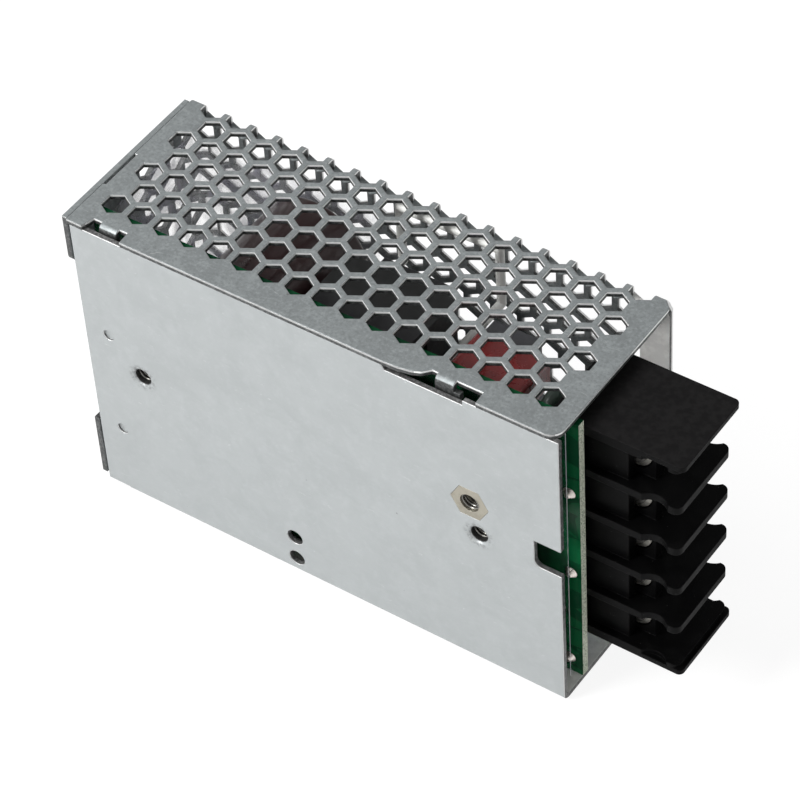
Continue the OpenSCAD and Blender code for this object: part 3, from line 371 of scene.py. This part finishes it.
# %% [markdown]
# The terminal block is moulded from black flame retardant plastic. A mould
# leaves a fine spark textured skin with little sheen, and dust settles on it.
# The bobbin, the boxes of the film capacitors and the small packages are
# plastics of the same family with another grain, so one function makes them
# all, with the grain size and the sheen as inputs. The block's outermost face
# is painted paler than the rest, as painted light on the face that catches it.

# %% Moulded plastics
DUST_PALE = (0.35, 0.35, 0.33)
# The top face of the block is painted paler, as painted light.
LIT_TOP_DEPTH_MM = 0.5
LIT_TOP_DARK, LIT_TOP_PALE = (0.0075, 0.0072, 0.0074), (0.0115, 0.011, 0.0112)


def moulded(name, colour, rough, grain_scale=9.0, depth_mm=0.01, dust=0.12, coat=0.0, rounding_mm=0.2,
            gloss=0.5, lit_top_of=None):
    """Moulded plastic; the top face of the named node is painted paler, as painted light."""
    s = Surface(name)
    grain = s.noise(grain_scale, 3.0, 0.6)
    flow = s.noise(0.25, 3.0, 0.55, twist=0.8)
    lint = s.cells(1.6).below(0.06) * s.noise(1.3).above(0.56)
    pale = tuple(min(1.0, c * 1.5 + 0.01) for c in colour)
    base = s.tint(colour,
                  (flow.ramp(0.35, 0.7, 0.0, dust), pale),
                  (grain.ramp(0.45, 0.75, 0.0, dust), pale),
                  (lint * 0.3, DUST_PALE))
    if lit_top_of:
        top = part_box(lit_top_of)[1][2] / MM
        # Top face painted paler, as painted light.
        lit_top = s.facing()[2].above(SQUARE_ON) * s.z.above(top - LIT_TOP_DEPTH_MM)
        lit_top_tone = s.mix(s.noise(1.1, 3.0, 0.6).ramp(0.36, 0.64), LIT_TOP_DARK, LIT_TOP_PALE)
        base = s.mix(lit_top, base, lit_top_tone)
    s.set("Base Color", base)
    s.set("Roughness", (flow.ramp(0.3, 0.7, rough - 0.05, rough + 0.06) + (grain - 0.5) * 0.12).clamped())
    s.set("Specular IOR Level", gloss)
    if coat:
        s.set("Coat Weight", coat)
        s.set("Coat Roughness", 0.15)
    s.relief(grain, depth_mm, 0.5, rounding_mm=rounding_mm)
    FINISH[name] = s.material


# The block's top face is painted paler, as painted light.
moulded("block_black", (0.0012, 0.0012, 0.0013), 0.45, grain_scale=7.0, depth_mm=0.014, dust=0.1,
        gloss=0.055, lit_top_of="terminal_housing")
moulded("bobbin_black", (0.016, 0.016, 0.018), 0.35)
moulded("package_black", (0.014, 0.014, 0.015), 0.5, grain_scale=12.0)
moulded("package_white", (0.62, 0.62, 0.58), 0.45, grain_scale=12.0)
moulded("cap_grey", (0.055, 0.056, 0.062), 0.32, grain_scale=5.0, depth_mm=0.015, dust=0.2, coat=0.3)
moulded("cap_red", srgb(118, 30, 30), 0.28, grain_scale=4.0, depth_mm=0.02, dust=0.3, coat=0.5)
moulded("trimmer_blue", (0.01, 0.07, 0.33), 0.33)
moulded("rotor_white", (0.72, 0.70, 0.64), 0.45)
moulded("fuse_tan", (0.05, 0.045, 0.04), 0.4)
moulded("sleeve_white", (0.78, 0.78, 0.75), 0.5, grain_scale=6.0, depth_mm=0.02)
print("plastic finishes:", len(FINISH))

# %% [markdown]
# Turned and stamped metal parts: plated screws and clamps, tin plated
# contacts, the nickel plated board post, solder, and the mill finished
# aluminium of the heat spreader. They differ in colour, in how sharp their
# reflections are, and in the direction of their fine tool marks, so those
# are the inputs.

# %% Small metal parts
def bright_metal(name, colour, rough, grain=(2.0, 2.0, 2.0), stain=0.3, depth_mm=0.01, rounding_mm=0.08):
    """Bare or plated metal; grain stretches the tool marks, in marks a mm."""
    s = Surface(name)
    marks = s.noise(1.0, 4.0, 0.6, at=s.stretched(*grain))
    dull = s.noise(0.8, 3.0, 0.6)
    tarnish = tuple(c * 0.55 for c in colour)
    polish = tuple(min(1, c * 1.25) for c in colour)
    s.set("Base Color", s.tint(colour, (dull.ramp(0.4, 0.75, 0.0, stain), tarnish),
                               (marks.ramp(0.5, 0.8, 0.0, 0.25), polish)))
    s.set("Metallic", 1.0)
    s.set("Roughness", (dull.ramp(0.3, 0.75, rough, rough + 0.16) + (marks - 0.5) * 0.14).clamped())
    s.relief(marks, depth_mm, 0.5, rounding_mm=rounding_mm)
    FINISH[name] = s.material


bright_metal("post_nickel", srgb(170, 165, 152), 0.38, grain=(1.2, 1.2, 1.2))
bright_metal("screw_zinc", (0.62, 0.62, 0.61), 0.13, grain=(1.6, 3.0, 5.0), stain=0.6, depth_mm=0.05)
bright_metal("clamp_zinc", (0.6, 0.6, 0.6), 0.3, grain=(0.6, 3.0, 6.0))
# Painted dark as painted shade: its threads sit deep in bores and under the contacts.
bright_metal("screw_nickel", (0.24, 0.235, 0.22), 0.26, grain=(3.0, 3.0, 3.0), stain=0.5)
bright_metal("contact_tin", (0.66, 0.64, 0.58), 0.3, grain=(0.6, 3.0, 5.0))
bright_metal("tinned_wire", (0.75, 0.74, 0.7), 0.2, grain=(1.0, 1.0, 4.0))
bright_metal("aluminium", (0.72, 0.73, 0.74), 0.34, grain=(0.15, 3.0, 3.0))
bright_metal("solder", (0.70, 0.64, 0.60), 0.2, grain=(1.9, 1.9, 1.3), stain=0.6, depth_mm=0.25)
bright_metal("copper", (0.72, 0.24, 0.08), 0.22, stain=0.2)
print("metal finishes so far:", len(FINISH))

# %% [markdown]
# The circuit board's solder side faces the front plate. Under the clear green
# mask run copper tracks, which show as slightly lighter, raised lines, and
# the sawn edge of the glass epoxy sheet is pale, speckled and dusty. Tracks
# run square to each other, so they come from two sets of stretched cells. The
# edge is told from the faces by the true normal.

# %% Circuit board
MASK_GREEN, MASK_OVER_COPPER, MASK_DEEP = (0.002, 0.048, 0.018), (0.004, 0.105, 0.035), (0.003, 0.036, 0.016)
SAWN_PALE, SAWN_WHITE, SAWN_DARK = (0.30, 0.33, 0.26), (0.62, 0.65, 0.54), (0.05, 0.13, 0.06)


def board_mask():
    """Green mask over copper tracks on the faces, sawn glass epoxy on the rim."""
    s = Surface("board_green")
    face = s.facing()[0].math("ABSOLUTE").below(SQUARE_ON)
    lanes_x = s.stretched(0.25, 0.0, 1.0)
    lane = s.lots(0.33, lanes_x)
    gap = s.cells(0.33, at=lanes_x, feature="DISTANCE_TO_EDGE")
    across = s.lots(0.30, s.stretched(1.0, 0.0, 0.22))
    copper = widest(lane.above(0.45) * gap.above(0.05), across.above(0.62))
    weave = s.noise(3.0, 2.0)
    fibres = s.noise(2.6, 4.0, 0.75, at=s.stretched(1.6, 1.0, 0.8))
    green = s.tint(MASK_GREEN, (copper * 0.6, MASK_OVER_COPPER), (weave.ramp(0.4, 0.8, 0.0, 0.25), MASK_DEEP))
    cut = s.tint(SAWN_PALE, (fibres.ramp(0.42, 0.52), SAWN_WHITE), (fibres.ramp(0.56, 0.62), SAWN_DARK))
    s.set("Base Color", s.mix(face, cut, green))
    s.set("Roughness", face.ramp(0.0, 1.0, 0.75, 0.24))
    s.set("Specular IOR Level", 0.14)
    s.relief(copper * face + fibres * (1.0 - face) * 1.4, 0.03, 0.7)
    FINISH["board_green"] = s.material


board_mask()
print("board finish ready")

# %% [markdown]
# Shrunk sleeves cover the capacitor cans; dipped coatings cover the discs;
# lacquer covers the resistors, with the colour bands that tell their value;
# polyester tape wraps the windings. All are thin glossy skins over something
# else, so a clear coat over a soft colour does them, with wrinkles, runs or
# lap lines as the relief.

# %% Skins: sleeve, dip, lacquer, tape
BAND_HALF_MM = 0.06
RED_BAND, BLACK_BAND, ORANGE_BAND = (0.25, 0.03, 0.02), (0.02, 0.02, 0.02), (0.5, 0.25, 0.02)


def skin(name, colour, rough=0.22, coat=0.6, wrinkle=0.5, depth_mm=0.04, bands=None):
    """A thin glossy skin; bands are (place within each millimetre, colour)."""
    s = Surface(name)
    folds = s.noise(wrinkle, 3.0, 0.5, at=s.stretched(1.0, 0.35, 1.0), twist=0.5)
    fine = s.noise(6.0, 2.0)
    pale = tuple(min(1, c * 1.6 + 0.01) for c in colour)
    base = s.tint(colour, (folds.ramp(0.4, 0.75, 0.0, 0.35), pale))
    for place, tone in bands or ():
        ring = (s.z.math("FRACT") - place).math("ABSOLUTE")
        base = s.mix(ring.below(BAND_HALF_MM), base, tone)
    s.set("Base Color", base)
    s.set("Roughness", folds.ramp(0.3, 0.7, rough, rough + 0.15) + fine * 0.05)
    s.set("Coat Weight", coat)
    s.set("Coat Roughness", 0.1)
    s.relief(folds + fine * 0.1, depth_mm, 0.6, rounding_mm=0.15)
    FINISH[name] = s.material


skin("can_brown", srgb(42, 17, 18), rough=0.25, coat=0.35)
skin("can_blue", (0.012, 0.016, 0.045))
skin("tape_black", (0.02, 0.019, 0.022), rough=0.2, coat=0.5, wrinkle=1.2, depth_mm=0.03)
skin("disc_blue", (0.012, 0.10, 0.34), rough=0.3, coat=0.4, wrinkle=0.8)
skin("disc_green", (0.03, 0.05, 0.038), rough=0.35, coat=0.4, wrinkle=0.8)
skin("resistor_blue", (0.10, 0.22, 0.38), rough=0.3, coat=0.4, wrinkle=0.8, depth_mm=0.02,
     bands=((0.2, RED_BAND), (0.45, BLACK_BAND), (0.7, ORANGE_BAND)))
skin("ring_green", (0.03, 0.13, 0.08), rough=0.4, coat=0.3, wrinkle=0.8)
print("skin finishes ready")

# %% [markdown]
# Ferrite is a fired ceramic: nearly black, matt, with pits and a little dust.
# The insulating film is clear polyester sheet, hard to see but for its gloss,
# a few soft creases and a pale cut edge. Refraction would be the physical way
# to make it, but a film this thin bends no light, so its alpha does it: low in
# front of the board, more where it stands up in the case and catches light.
# The pilot lamp is tinted clear resin.

# %% Ferrite, film and lamp
FERRITE_BLACK, FERRITE_DUST = (0.014, 0.0145, 0.0145), (0.04, 0.041, 0.042)
FILM_CLEAR, FILM_SHADE = (0.84, 0.84, 0.85), (0.65, 0.635, 0.72)
FRONT_LAYER_Y_MM = -8.0
CLOSED_END_MM, CUT_EDGE_MM = (6.0, 30.0), 0.3
ALPHA_BASE, ALPHA_HAZE, ALPHA_END, ALPHA_EDGE = 0.006, (0.08, 0.24), 0.22, 0.55
RESIN_DEEP, RESIN_LIGHT = (0.05, 0.42, 0.12), (0.12, 0.55, 0.2)


def ferrite():
    s = Surface("ferrite")
    pits = s.cells(2.2).ramp(0.0, 0.25)
    dust = s.noise(1.2, 5.0, 0.65)
    s.set("Base Color", s.tint(FERRITE_BLACK, (dust.ramp(0.4, 0.75, 0.0, 0.5), FERRITE_DUST)))
    s.set("Roughness", dust.ramp(0.3, 0.7, 0.5, 0.72))
    s.set("Metallic", 0.15)
    s.relief(pits * 0.6 + dust, 0.03, 0.6, rounding_mm=0.25)
    FINISH["ferrite"] = s.material


def clear_film():
    s = Surface("clear_film")
    low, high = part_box("insulating_film")
    crease = s.noise(0.16, 2.0, 0.5, twist=1.4)
    haze = s.noise(0.5, 3.0)
    from_end, to_end = (low[0] / MM + reach for reach in CLOSED_END_MM)
    near_end = s.x.ramp(from_end, to_end, 1.0, 0.0) * crease.ramp(0.38, 0.56)
    behind = s.y.above(FRONT_LAYER_Y_MM)
    edge = s.facing()[0].math("ABSOLUTE").above(SQUARE_ON) * s.x.above(high[0] / MM - CUT_EDGE_MM)
    inside = behind * (haze.ramp(0.35, 0.7, *ALPHA_HAZE) + near_end * ALPHA_END)
    s.set("Base Color", s.mix(crease.ramp(0.4, 0.6), FILM_CLEAR, FILM_SHADE))
    s.set("Roughness", 0.12)
    s.set("Alpha", (inside + ALPHA_BASE + edge * ALPHA_EDGE).clamped())
    s.relief(crease, 0.8, 0.7)
    FINISH["clear_film"] = s.material


def lamp_resin():
    s = Surface("lamp_green")
    swirl = s.noise(1.4, 2.0)
    s.set("Base Color", s.mix(swirl, RESIN_DEEP, RESIN_LIGHT))
    s.set("Roughness", 0.12)
    s.set("Alpha", 0.85)
    s.set("Coat Weight", 0.6)
    s.relief(swirl, 0.02, 0.4)
    FINISH["lamp_green"] = s.material


ferrite()
clear_film()
lamp_resin()
print("finishes:", len(FINISH))

# %% [markdown]
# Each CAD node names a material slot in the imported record. Giving every node
# the finish of its slot keeps the dressed model and the record in step.

# %% Dress the solids
SLOT = {part["node"]: part["material_slot"] for part in frame["record"]["subparts"]}


def dress(node, finish):
    mesh = frame["nodes"][node].data
    mesh.materials.clear()
    mesh.materials.append(FINISH[finish])


for node, slot in SLOT.items():
    dress(node, slot)
print("dressed", len(SLOT), "nodes with", len(set(SLOT.values())), "finishes")

# %% [markdown]
# A screw thread is one small triangular ridge that follows a helix. Modelled
# turn by turn it would be heavy and hard to change, so Geometry Nodes make
# it: a spiral curve carries a triangular profile, and the sizes are inputs of
# the tree. The same tree serves a tapped hole, where the ridge stands inward
# from the wall, and a screw's shank, where it stands outward.

# %% The thread tree
THREAD_SIZES = {"Radius": 0.00125, "Pitch": 0.0005, "Length": 0.0017, "Crest": 0.00018}
POINTS_A_TURN, RIDGE_CORNERS = 40, 3


def thread_tree(finish):
    """A helical ridge with its sizes as inputs, and the identifiers of those."""
    tree = bpy.data.node_groups.new("thread_ridge", "GeometryNodeTree")
    tree.interface.new_socket("Geometry", in_out="OUTPUT", socket_type="NodeSocketGeometry")
    sockets = {}
    for name, value in THREAD_SIZES.items():
        item = tree.interface.new_socket(name, in_out="INPUT", socket_type="NodeSocketFloat")
        item.default_value = value
        sockets[name] = item.identifier
    ridge = Graph(tree)
    given = ridge.node("NodeGroupInput")
    radius, pitch, length, crest = (given.output(name) for name in THREAD_SIZES)
    spiral = ridge.node("GeometryNodeCurveSpiral", sockets={
        "Resolution": POINTS_A_TURN, "Rotations": length.math("DIVIDE", pitch),
        "Start Radius": radius, "End Radius": radius, "Height": length})
    profile = ridge.node("GeometryNodeCurvePrimitiveCircle", sockets={
        "Resolution": RIDGE_CORNERS, "Radius": crest})
    sweep = ridge.node("GeometryNodeCurveToMesh", sockets={
        "Curve": spiral, "Profile Curve": profile, "Fill Caps": True})
    real = ridge.node("GeometryNodeRealizeInstances", sockets={0: sweep})
    coloured = ridge.node("GeometryNodeSetMaterial", sockets={"Geometry": real, "Material": FINISH[finish]})
    ridge.node("NodeGroupOutput", sockets={0: coloured})
    return tree, sockets


def grown(name, tree, sockets, sizes, place=Matrix.Identity(4)):
    """Evaluate a Geometry Nodes tree once and keep the plain mesh it makes."""
    seed = bpy.data.objects.new(name + "_seed", bpy.data.meshes.new(name + "_seed"))
    bpy.context.scene.collection.objects.link(seed)
    modifier = seed.modifiers.new("grow", "NODES")
    modifier.node_group = tree
    for key, value in sizes.items():
        modifier[sockets[key]] = value
    bpy.context.view_layer.update()
    made = seed.evaluated_get(bpy.context.evaluated_depsgraph_get())
    mesh = bpy.data.meshes.new_from_object(made)
    mesh.transform(place)
    mesh.update()
    bpy.data.objects.remove(seed)
    piece = bpy.data.objects.new(name, mesh)
    bpy.context.scene.collection.objects.link(piece)
    return piece


print("thread tree ready")

# %% [markdown]
# Three bores show their threads from the front: the two mounting holes and
# the board post. A picture of rings in the bore would look flat in the light,
# so each ridge is real and stops short of both ends of its bore. The mounts
# in the record say where the holes are; the post's own box says where it is.

# %% Threads in the front plate
MOUNT = {m["name"]: m for m in frame["record"]["mounts"]}
ALONG_Y = Matrix.Rotation(math.radians(-90), 4, "X")
BODY = {node: body for body, nodes in frame["record"]["behaviour"]["bodies"].items() for node in nodes}
PITCH = 0.5 * MM
BORE_CREST, SHANK_CREST = 0.289 * MM, 0.13 * MM
SUNK = 0.3
HOLE_START, HOLE_SHORT = 0.75 * MM, 0.2 * MM
POST_RADIUS, POST_START, POST_LENGTH = 1.45 * MM, 0.15 * MM, 1.1 * MM
SHANK_RADIUS, SHANK_START, SHANK_LENGTH = 1.42 * MM, 0.1 * MM, 4.4 * MM


def joined(name, pieces):
    """One mesh from several, in the order given."""
    bpy.ops.object.select_all(action="DESELECT")
    for piece in pieces:
        piece.select_set(True)
    bpy.context.view_layer.objects.active = pieces[0]
    bpy.ops.object.join()
    pieces[0].name = name
    return pieces[0]


def bore_thread(name, finish, x, y, z, radius, length):
    """A ridge that stands inward from a bore's wall, its foot sunk in it."""
    tree, sockets = thread_tree(finish)
    sizes = {"Radius": radius - BORE_CREST * SUNK, "Pitch": PITCH, "Length": length, "Crest": BORE_CREST}
    return grown(name, tree, sockets, sizes, Matrix.Translation((x, y, z)) @ ALONG_Y)


FRONT_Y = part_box("chassis")[0][1]
holes = []
# The bore threads are painted dark, as painted shade, by their finish.
for key in ("mount_thread_1", "mount_thread_2"):
    x, _, z = MOUNT[key]["pos_m"]
    radius, length = MOUNT[key]["dims"]["r_mm"] * MM, MOUNT[key]["dims"]["length_mm"] * MM
    holes.append(bore_thread(key, "screw_nickel", x, FRONT_Y + HOLE_START, z, radius, length - HOLE_SHORT))
mount_threads = joined("mount_threads", holes)
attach(mount_threads, "case")

lo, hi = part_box("board_post")
post_x, post_z = (lo[0] + hi[0]) / 2, (lo[2] + hi[2]) / 2
post_thread = bore_thread("post_thread", "screw_nickel", post_x, FRONT_Y + POST_START, post_z,
                          POST_RADIUS, POST_LENGTH)
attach(post_thread, "case")
print("front threads at x", [round(h / MM, 1) for h in (MOUNT["mount_thread_1"]["pos_m"][0], post_x)])

# %% [markdown]
# The five terminal screws show their shanks from below the contact. Each
# thread rides with its own screw, because the screw turns and lifts.

# %% Threads on the terminal screws
POLES = 5
# These threads are painted dark too, as painted shade under the contacts.
tree, sockets = thread_tree("screw_nickel")
for pole in range(1, POLES + 1):
    node = f"terminal_screw_{pole}"
    lo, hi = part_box(node)
    x, z = (lo[0] + hi[0]) / 2, (lo[2] + hi[2]) / 2
    sizes = {"Radius": SHANK_RADIUS, "Pitch": PITCH, "Length": SHANK_LENGTH, "Crest": SHANK_CREST}
    place = Matrix.Translation((x, lo[1] + SHANK_START, z)) @ ALONG_Y
    ridge = grown(f"screw_thread_{pole}", tree, sockets, sizes, place)
    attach(ridge, BODY[node])
print("screw threads:", POLES)

# %% [markdown]
# The studio: a white sweep under and behind the part, as in a catalogue
# picture. Bare metal shows what surrounds it, so the surroundings are what is
# designed here. Low directions are white, like a light tent, which makes the
# front plate pale; high directions are grey, which makes the mesh side darker
# than the front plate, as sheet metal looks under a tent with a dark top. A
# lamp alone could do it too, but would leave hard glints on every edge, so
# the two lamps only shape what the tent lights.

# %% Surroundings
HORIZON_GLOW, ZENITH_GLOW = 0.86, 0.30
TENT_SIDE, TENT_TOP = 0.25, 0.75
FLOOR_SIZE, FLOOR_DROP = 3.0, 0.0001
FLOOR_WHITE, PLAIN_WHITE, FLOOR_GLOW = (0.92, 0.92, 0.92), (1.0, 1.0, 1.0), 1.10
KEEP_SHADOW, KEEP_MIRRORED = 0.2, 0.4


def tent():
    """White at the sides, grey overhead, and plain white to the camera."""
    world = bpy.data.worlds.new("tent")
    bpy.context.scene.world = world
    world.use_nodes = True
    cloth = Graph(world.node_tree)
    _, _, height = cloth.split(cloth.node("ShaderNodeTexCoord", out="Generated"))
    glow = height.ramp(TENT_SIDE, TENT_TOP, HORIZON_GLOW, ZENITH_GLOW)
    seen = widest(*cloth.rays("Camera", "Transmission"))
    back = world.node_tree.nodes["Background"]
    cloth.plug(glow + (1.0 - glow) * seen, back.inputs["Strength"])
    cloth.plug(PLAIN_WHITE, back.inputs["Color"])


def floor_sheet():
    """A white sweep that glows to the camera but still takes the shadow."""
    bpy.ops.mesh.primitive_plane_add(size=FLOOR_SIZE, location=(0, 0, -FLOOR_DROP))
    sheet = bpy.context.object
    sheet.name = "studio_floor"
    s = Surface("studio_white")
    s.set("Base Color", FLOOR_WHITE)
    s.set("Roughness", 0.9)
    s.set("Specular IOR Level", 0.0)
    seen, mirrored, through = s.rays("Camera", "Glossy", "Transmission")
    amount = widest(seen * (1.0 - KEEP_SHADOW), through * (1.0 - KEEP_SHADOW), mirrored * KEEP_MIRRORED)
    glow = s.node("ShaderNodeEmission", sockets={"Strength": FLOOR_GLOW})
    mixed = s.node("ShaderNodeMixShader", sockets={0: amount, 1: Term(s, s.shader.outputs[0]), 2: glow})
    s.plug(mixed, s.tree.nodes["Material Output"].inputs["Surface"])
    sheet.data.materials.append(s.material)


def soft_box(name, place, size, watts, target=(0, 0, 0.02)):
    light = bpy.data.lights.new(name, "AREA")
    light.shape, light.size, light.energy = "DISK", size, watts
    lamp = bpy.data.objects.new(name, light)
    lamp.location = place
    lamp.rotation_euler = (Vector(target) - Vector(place)).to_track_quat("-Z", "Y").to_euler()
    bpy.context.scene.collection.objects.link(lamp)


tent()
floor_sheet()
soft_box("overhead", (-0.35, -0.25, 0.75), size=0.5, watts=3.0)
soft_box("front", (-0.38, -0.63, 0.50), size=0.3, watts=6.0)
print("studio ready: a tent, a floor and two lamps")

# %% [markdown]
# The camera repeats the photograph's own viewpoint, found by fitting a lens to
# the straight edges and the lattice of holes: a long lens from the right and
# above. Its place and the three directions of its frame are sizes of the
# shot, in millimetres from the case's front lower left corner.

# %% Camera
CASE_CORNER = Vector(CAD_BOX[0])
CAMERA_FROM_CORNER_MM = Vector((240.26, -244.95, 360.59))
RIGHT = Vector((0.82495, 0.56291, -0.05097))
UP = Vector((-0.37685, 0.61499, 0.69265))
FOCAL_PX, CENTRE_PX, FRAME_PX = 3458.9, (395.69, 417.90), 800
SENSOR_MM = 36.0

camera_at = CASE_CORNER + CAMERA_FROM_CORNER_MM * MM
lens = bpy.data.cameras.new("catalogue_camera")
lens.sensor_width = SENSOR_MM
lens.lens = FOCAL_PX * SENSOR_MM / FRAME_PX
lens.shift_x = (FRAME_PX / 2 - CENTRE_PX[0]) / FRAME_PX
lens.shift_y = (CENTRE_PX[1] - FRAME_PX / 2) / FRAME_PX
lens.clip_start, lens.clip_end = 0.01, 20.0
camera = bpy.data.objects.new("catalogue_camera", lens)
back = RIGHT.cross(UP).normalized()
turn = Matrix((RIGHT.normalized(), UP.normalized(), back)).transposed().to_4x4()
camera.matrix_world = Matrix.Translation(camera_at) @ turn
bpy.context.scene.collection.objects.link(camera)
bpy.context.scene.camera = camera
bpy.context.scene.view_settings.view_transform = "Standard"
print("lens", round(lens.lens, 1), "mm from", [round(c, 3) for c in camera_at])
